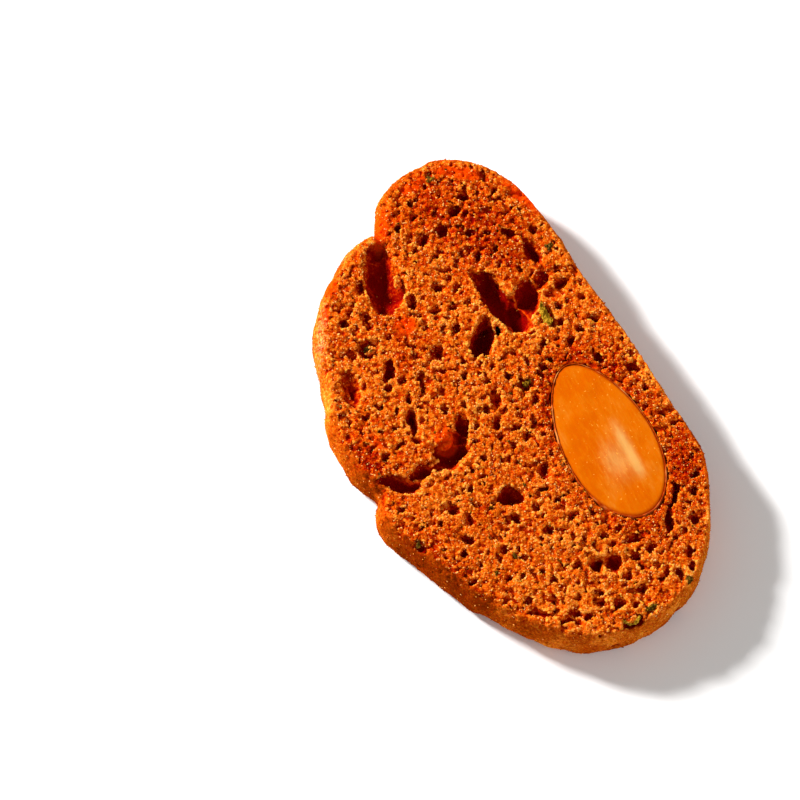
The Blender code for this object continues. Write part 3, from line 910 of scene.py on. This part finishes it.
def makeKernel(look, material):
    angles = -2 * math.pi * np.arange(look["around"]) / look["around"]
    top = sliceTop - look["dish"]
    hub = look["hub"]
    rounded, drop = look["rounding"]
    rows = [(0.0, share, 0.0, -1) for share in np.linspace(hub, 1, look["faceRings"])]
    for share in np.linspace(hub, 1 - hub, look["wallRings"]):
        rows.append((wallBulge(look, share), 1.0, share * top, 0))
    rows += [(0.0, share, top, 1) for share in np.linspace(1, hub, look["faceRings"])]
    points, streak, rim = [], [], []
    for grow, scale, height, side in rows:
        x, y, along, across = kernelOutline(look, angles, grow, scale)
        z = np.full(len(x), height)
        if side:
            rimDrop = drop * max(0.0, (scale - rounded) / (1 - rounded)) ** 2
            for index in range(len(x)):
                place = Vector((x[index], y[index], side * 7.0))
                relief = look["waves"] * noise.noise(place * 0.45)
                fibre = noise.noise(Vector((along[index] * 0.5, across[index] * 3.2, 5.0 * side)))
                relief += look["grooves"] * fibre + look["crown"] * (1 - scale ** 2) - rimDrop
                z[index] = height + side * relief if side > 0 else max(0.0, -relief)
        points.append(np.stack([x, y, z], 1))
        streak.append(np.stack([along, across], 1))
        rim.append(np.full(len(x), scale))
    count, wide = len(rows), look["around"]
    points = np.concatenate(points + [points[0].mean(0)[None], points[-1].mean(0)[None]])
    index = np.arange((count - 1) * wide).reshape(count - 1, wide)
    after = np.roll(index, -1, 1)
    faces = np.concatenate([np.stack([index, index + wide, after + wide], -1).reshape(-1, 3),
                            np.stack([index, after + wide, after], -1).reshape(-1, 3)])
    lowest, highest = index[0], index[-1] + wide
    bottomFan = np.stack([lowest, np.roll(lowest, -1), np.full(wide, count * wide)], 1)
    topFan = np.stack([np.roll(highest, -1), highest, np.full(wide, count * wide + 1)], 1)
    faces = np.concatenate([faces, bottomFan, topFan])
    local = np.concatenate(streak + [np.zeros((2, 2))])
    rims = np.concatenate(rim + [np.zeros(2)])

    # pale streak where the seed leaves meet, right of the middle, with a softer bloom beside it
    along, across = local[:, 0], local[:, 1]
    ends = np.clip((along + 6.6) / 1.6, 0, 1) * np.clip((2.6 - along) / 3.0, 0, 1)
    seam = np.exp(-((across - look["seam"]) / look["seamWide"]) ** 2) * ends
    (offAcross, offAlong), (wideAcross, wideAlong) = look["bloomOff"], look["bloomWide"]
    bloom = ((across - look["seam"] - offAcross) / wideAcross) ** 2 + ((along - offAlong) / wideAlong) ** 2
    pale = 0.75 * seam + 0.6 * np.exp(-bloom)
    return newPiece("almondKernel", points, faces, material, {"pale": pale, "rim": rims})


kernelFinish = {
    "body": (0.60, 0.124, 0.0002),
    "deep": (0.56, 0.094, 0.0002),
    "bright": (0.65, 0.165, 0.001),
    "pale": (0.70, 0.37, 0.10),
    "edge": (0.36, 0.024, 0.0003),
    # colour of painted glints on the kernel's face
    "dot": (0.95, 0.42, 0.05),
    "roughness": 0.5,
    "glow": 0.12,
    "depth": (0.60, 0.21, 0.048),
}


def kernelMaterial(look):
    sheet = NodeSheet("sliced almond")
    pale = sheet.attribute("pale")
    rim = sheet.attribute("rim")
    turn = math.radians(kernelShape["turn"])
    fibre = sheet.noise(0.35, 3.0, 0.6, (4.0, 1.0, 1.0), turn)
    cloud = sheet.noise(2.4, 3.0, 0.6, (1.6, 1.0, 1.0), turn)
    colour = sheet.mix(sheet.ramp(cloud, 0.35, 0.65), look["deep"], look["body"])
    colour = sheet.mix(sheet.ramp(fibre, 0.45, 0.75, 0.0, 0.45), colour, look["bright"])
    share = sheet.total(-0.40, (pale, 0.9), (cloud, 0.5), (fibre, 0.35))
    colour = sheet.mix(sheet.ramp(share, 0.0, 0.95, 0.0, 0.85), colour, look["pale"])
    # tiny bright dots on the kernel's face, painted glints
    glintDots = sheet.ramp(sheet.noise(0.30, 1.0), 0.70, 0.76, 0.0, 0.5)
    colour = sheet.mix(glintDots, colour, look["dot"])
    colour = sheet.mix(sheet.ramp(rim, 0.94, 1.0, 0.0, 0.65), colour, look["edge"])
    sheet.glow(look["glow"], look["depth"])
    return sheet.finish(colour, look["roughness"], 0.0, sheet.bump(fibre, 0.03, 0.6))


skinShape = {
    "inner": 0.01,
    "thick": 0.11,
    "around": 260,
    "rings": 14,
    "foot": 0.02,
    "rise": 0.03,  # how far its torn rim stands over the kernel's face
    "ragged": 0.12,
}


def makeSkin(look, kernel, material):
    angles = -2 * math.pi * np.arange(look["around"]) / look["around"]
    top = sliceTop - kernel["dish"]
    wall = np.linspace(look["foot"], 1.0, look["rings"])
    outer = look["inner"] + look["thick"]
    rows = [(look["inner"], share) for share in wall] + [(outer, share) for share in wall[::-1]]
    points, height = [], []
    for grow, share in rows:
        x, y, _, _ = kernelOutline(kernel, angles, grow + wallBulge(kernel, share))
        rim = np.array([noise.noise(Vector((a * 9.0, b * 9.0, 3.0)) * 0.16) for a, b in zip(x, y)])
        z = share * (top + look["rise"] + look["ragged"] * rim)
        points.append(np.stack([x, y, z], 1))
        height.append(np.full(len(x), share))
    points = np.concatenate(points)
    index = np.arange(len(points)).reshape(len(rows), look["around"])
    after = np.roll(index, -1, 1)
    below = np.roll(index, -1, 0)
    corner = np.roll(below, -1, 1)
    faces = np.stack([index, after, corner, below], -1).reshape(-1, 4)
    return newPiece("almondSkin", points, faces, material, {"height": np.concatenate(height)})


def skinMaterial():
    sheet = NodeSheet("almond skin")
    flake = sheet.noise(0.45, 4.0, 0.7)
    broad = sheet.noise(3.0, 2.0)
    colour = sheet.mix(sheet.ramp(flake, 0.40, 0.60), (0.28, 0.020, 0.001), (0.50, 0.060, 0.003))
    colour = sheet.mix(sheet.ramp(broad, 0.48, 0.66, 0.0, 0.7), colour, (0.80, 0.30, 0.07))
    return sheet.finish(colour, 0.6, 0.0, sheet.bump(flake, 0.05, 0.8))


# Bits of dried herb: x, y, length, width, turn, height over the cut face, 0 olive to 1 yellow-green
herbBits = (
    (-9.7, 27.5, 1.4, 0.8, 20, -0.10, 0.3), (-1.4, 21.2, 0.9, 0.5, 60, -0.15, 0.1),
    (4.6, 18.8, 1.2, 0.7, 60, -0.10, 0.2), (4.1, 10.2, 3.0, 1.2, 110, 0.02, 0.75),
    (13.8, -27.9, 2.2, 1.0, 18, -0.30, 0.8), (16.2, -26.4, 1.5, 0.6, 30, -0.15, 0.3),
    (20.5, -22.9, 1.3, 0.8, 80, -0.10, 0.2), (5.7, -20.6, 0.8, 0.5, 10, -0.15, 0.4),
    (0.2, -20.0, 0.9, 0.5, 130, -0.15, 0.2), (-2.0, -22.2, 0.8, 0.5, 40, -0.15, 0.3),
    (-3.8, -13.1, 1.0, 0.6, 0, -0.20, 0.1), (-11.0, -18.7, 0.9, 0.5, 80, -0.20, 0.3),
    (1.8, 1.5, 1.2, 0.7, 45, -0.20, 0.4), (-16.9, 5.7, 1.2, 0.8, 15, -0.20, 0.0),
)
herbLook = {
    "specks": 30,
    "speckLength": (0.22, 0.55),
    "thick": 0.09,
    "rows": 13,
    "columns": 9,
    "lean": 0.5,
    "stand": 0.2,  # the highest over the solid's top
    "seed": 71,
}


# one curled flake, closed all round
def flakePoints(length, width, thick, rows, columns, draw):
    u = np.linspace(-1, 1, rows)[:, None]
    v = np.linspace(-1, 1, columns)[None, :]
    edge = np.sqrt(np.clip(1 - 0.92 * u ** 2, 0, 1)) * (1 + 0.22 * draw.normal(0, 1, (rows, 1)))
    x = u * length / 2 * (1 + 0 * v) + 0.05 * length * draw.normal(0, 1, (rows, columns))
    y = v * width / 2 * edge
    curl, twist = draw.uniform(-0.5, 0.5, 2)
    crumple = 0.09 * draw.normal(0, 1, (rows, columns))
    z = width * (curl * (u ** 2 - 0.3) + twist * u * v - 0.22 * v ** 2 + crumple)
    upper = np.stack([x, y, z + thick / 2], -1).reshape(-1, 3)
    lower = np.stack([x, y, z - thick / 2], -1).reshape(-1, 3)
    return np.concatenate([upper, lower])


def flakeFaces(rows, columns):
    index = np.arange(rows * columns).reshape(rows, columns)
    quads = np.stack([index[:-1, :-1], index[1:, :-1], index[1:, 1:], index[:-1, 1:]], -1).reshape(-1, 4)
    border = np.concatenate([index[0, :-1], index[:-1, -1], index[-1, :0:-1], index[:0:-1, 0]])
    after = np.roll(border, -1)
    count = rows * columns
    walls = np.stack([border, after, after + count, border + count], -1)
    return np.concatenate([quads, quads[:, ::-1] + count, walls])


def makeHerbs(look, points, marks, material):
    draw = np.random.default_rng(look["seed"])
    places = list(herbBits)
    face = np.flatnonzero((marks["below"] < 0.5) & (marks["crustDepth"] > 0.4))
    for spot in points[draw.choice(face, look["specks"])]:
        length = draw.uniform(*look["speckLength"])
        turn = draw.uniform(0, 180)
        height = spot[2] - sliceTop + look["thick"] / 3
        places.append((spot[0], spot[1], length, 0.6 * length, turn, height, draw.uniform(0, 0.6)))
    allPoints, allFaces, tints = [], [], []
    sides = flakeFaces(look["rows"], look["columns"])
    for number, (x, y, length, width, turn, height, tint) in enumerate(places):
        flake = flakePoints(length, width, look["thick"], look["rows"], look["columns"], draw)
        spin = spinMatrices(np.radians(turn), draw.uniform(-look["lean"], look["lean"]))
        flake = flake @ spin + (x, y, sliceTop + height)
        allFaces.append(sides + number * len(flake))
        allPoints.append(flake)
        tints.append(np.full(len(flake), tint))
    made = np.concatenate(allPoints)
    made[:, 2] = np.minimum(made[:, 2], cadHigh[2] / mm + look["stand"])
    return newPiece("herbFlakes", made, np.concatenate(allFaces), material, {"tint": np.concatenate(tints)})


def herbMaterial():
    sheet = NodeSheet("dried herb")
    tint = sheet.attribute("tint")
    vein = sheet.noise(0.22, 3.0, 0.7)
    share = sheet.total(-1.02, (tint, 0.8), (vein, 2.2))
    colour = sheet.shades(share, (
        (0.0, (0.030, 0.010, 0.0005)), (0.35, (0.095, 0.042, 0.001)), (0.7, (0.34, 0.17, 0.002)),
        (1.0, (0.78, 0.44, 0.03)),
    ))
    return sheet.finish(colour, 0.7, 0.05, sheet.bump(vein, 0.06, 0.8))


setStage()
crumb, crumbPoints, crumbFaces, crumbMarks = makeCrumb(crumbShape)
crumb.data.materials.append(crumbMaterial("baked crumb", crumbFinish, 0.62, False))
finishPiece(crumb, "crumb", "biscuit")
grainPaint = crumbMaterial("crumb grains", crumbFinish, 0.60, True)
sparklePaint = sparkleMaterial(crumbFinish)
for grainName, grainLook in grainKinds.items():
    paint = sparklePaint if grainName == "crumbSparkle" else grainPaint
    grains = scatterGrains(grainName, grainLook, grainSpread, crumbPoints, crumbFaces, crumbMarks, paint)
    finishPiece(grains, "crumb")
finishPiece(makeKernel(kernelShape, kernelMaterial(kernelFinish)), "almond", "almond")
finishPiece(makeSkin(skinShape, kernelShape, skinMaterial()), "almond")
finishPiece(makeHerbs(herbLook, crumbPoints, crumbMarks, herbMaterial()), "crumb")
